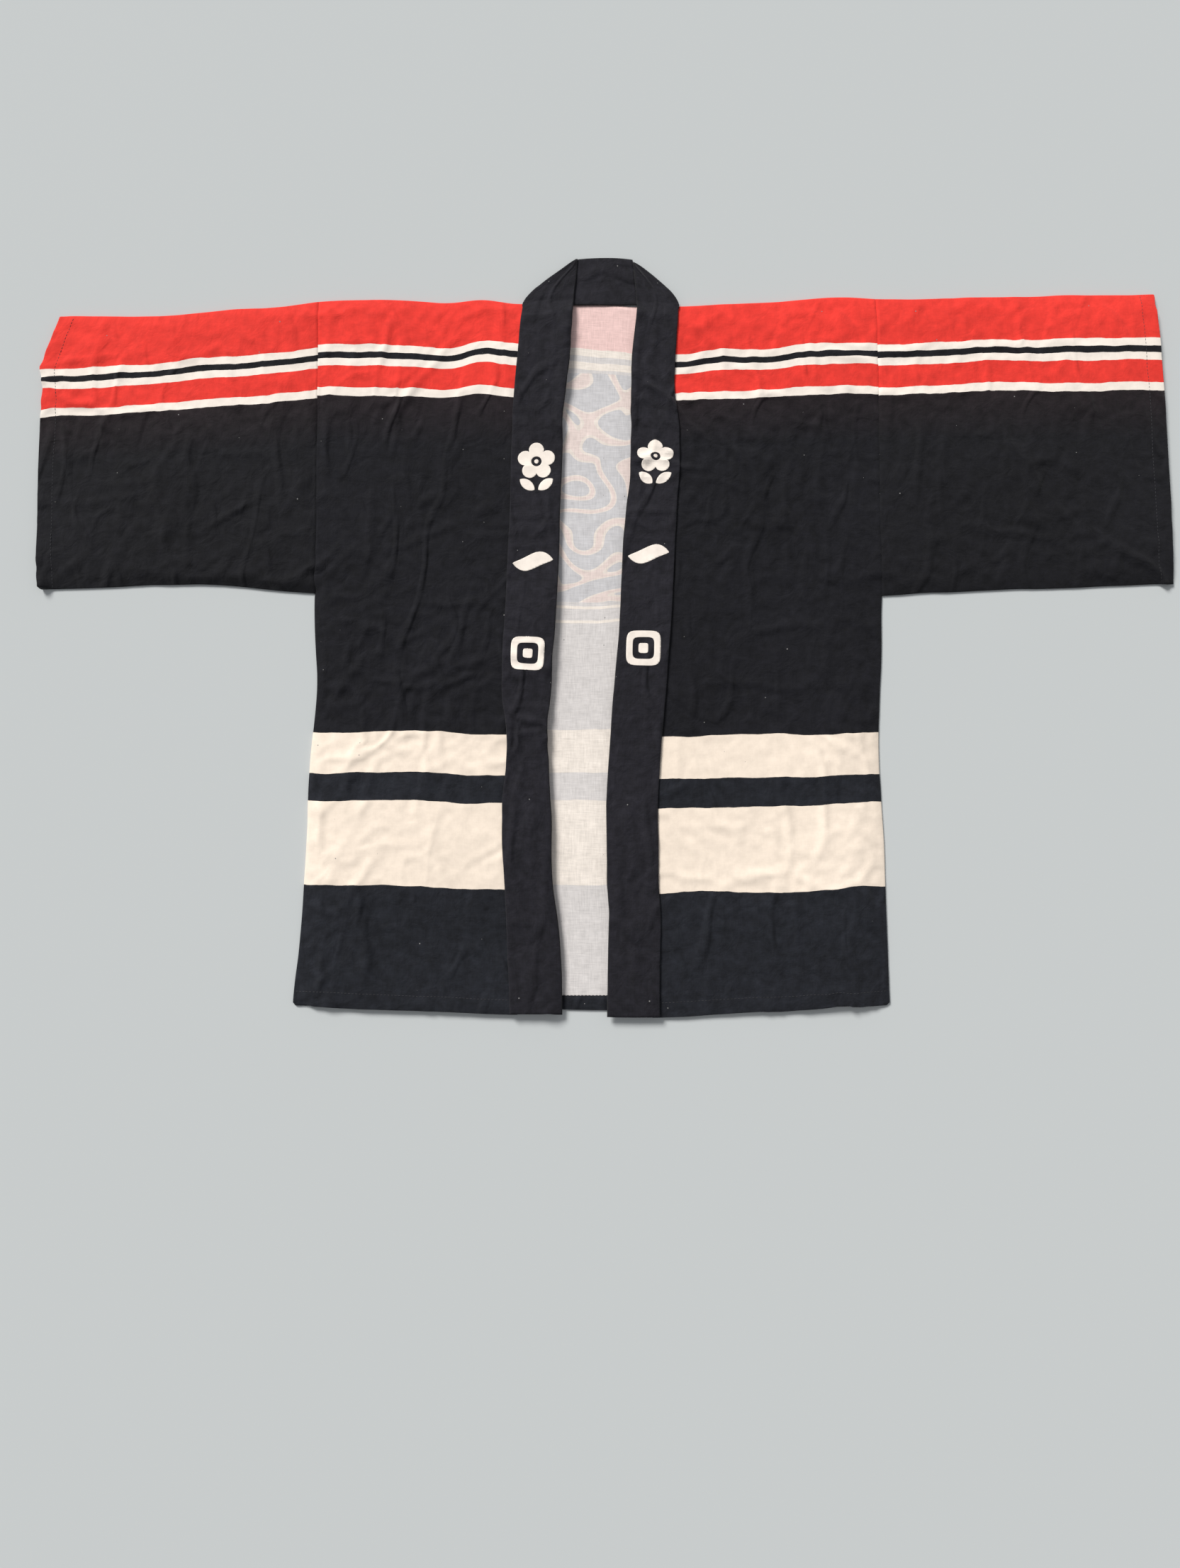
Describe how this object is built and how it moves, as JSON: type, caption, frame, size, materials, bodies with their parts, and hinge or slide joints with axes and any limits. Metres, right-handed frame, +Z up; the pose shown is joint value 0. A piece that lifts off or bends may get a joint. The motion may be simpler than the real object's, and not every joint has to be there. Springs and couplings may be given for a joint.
{
  "type": "festival coat",
  "caption": "Open-fronted cotton festival coat with wide straight sleeves and a band collar, lying flat; its sleeves and lower fronts fold over.",
  "frame": {"origin": "on the surface the coat lies on, under the middle of its outline", "axes": "+X to the wearer's left along the sleeves, +Y from the hem to the collar, +Z up through the front"},
  "size_m": [1.1822, 0.789, 0.0104],
  "materials": {
    "body_cloth": "matt black plain-woven cotton, printed with red, white and cream stripes, its reverse much paler",
    "sleeve_cloth": "matt black plain-woven cotton, printed with red and white stripes along the shoulder",
    "collar_cloth": "matt charcoal cotton, folded double, with pale printed motifs",
    "hem_cloth": "matt black cotton, turned up and stitched"
  },
  "bodies": {
    "coat_body": {"back_panel": "body_cloth", "back_hem": "hem_cloth", "neck_collar": "collar_cloth", "right_shoulder_fold": "body_cloth", "right_side_seam": "body_cloth", "right_front_upper": "body_cloth", "right_collar_upper": "collar_cloth", "right_collar_turn": "collar_cloth", "right_collar_roll": "collar_cloth", "left_shoulder_fold": "body_cloth", "left_side_seam": "body_cloth", "left_front_upper": "body_cloth", "left_collar_upper": "collar_cloth", "left_collar_turn": "collar_cloth", "left_collar_roll": "collar_cloth"},
    "right_sleeve": {"right_sleeve_back": "sleeve_cloth", "right_sleeve_front": "sleeve_cloth", "right_cuff_back": "sleeve_cloth", "right_cuff_front": "sleeve_cloth", "right_sleeve_fold": "sleeve_cloth", "right_underarm_seam": "sleeve_cloth"},
    "left_sleeve": {"left_sleeve_back": "sleeve_cloth", "left_sleeve_front": "sleeve_cloth", "left_cuff_back": "sleeve_cloth", "left_cuff_front": "sleeve_cloth", "left_sleeve_fold": "sleeve_cloth", "left_underarm_seam": "sleeve_cloth"},
    "right_front": {"right_front_lower": "body_cloth", "right_front_hem": "hem_cloth", "right_collar_lower": "collar_cloth"},
    "left_front": {"left_front_lower": "body_cloth", "left_front_hem": "hem_cloth", "left_collar_lower": "collar_cloth"}
  },
  "joints": [
    {"name": "right_sleeve_fold", "type": "hinge", "parent": "coat_body", "child": "right_sleeve", "pos_m": [-0.29995, 0.19, 0.0107], "axis": [0, 1, 0], "range_deg": [0, 165]},
    {"name": "left_sleeve_fold", "type": "hinge", "parent": "coat_body", "child": "left_sleeve", "pos_m": [0.28705, 0.19, 0.0107], "axis": [0, -1, 0], "range_deg": [0, 165]},
    {"name": "right_front_turn", "type": "hinge", "parent": "coat_body", "child": "right_front", "pos_m": [-0.05132, 0.0175, 0.0107], "axis": [-0.5396, -0.8419, 0], "range_deg": [0, 172]},
    {"name": "left_front_turn", "type": "hinge", "parent": "coat_body", "child": "left_front", "pos_m": [0.01716, 0.0175, 0.0107], "axis": [-0.5557, 0.8314, 0], "range_deg": [0, 172]}
  ]
}
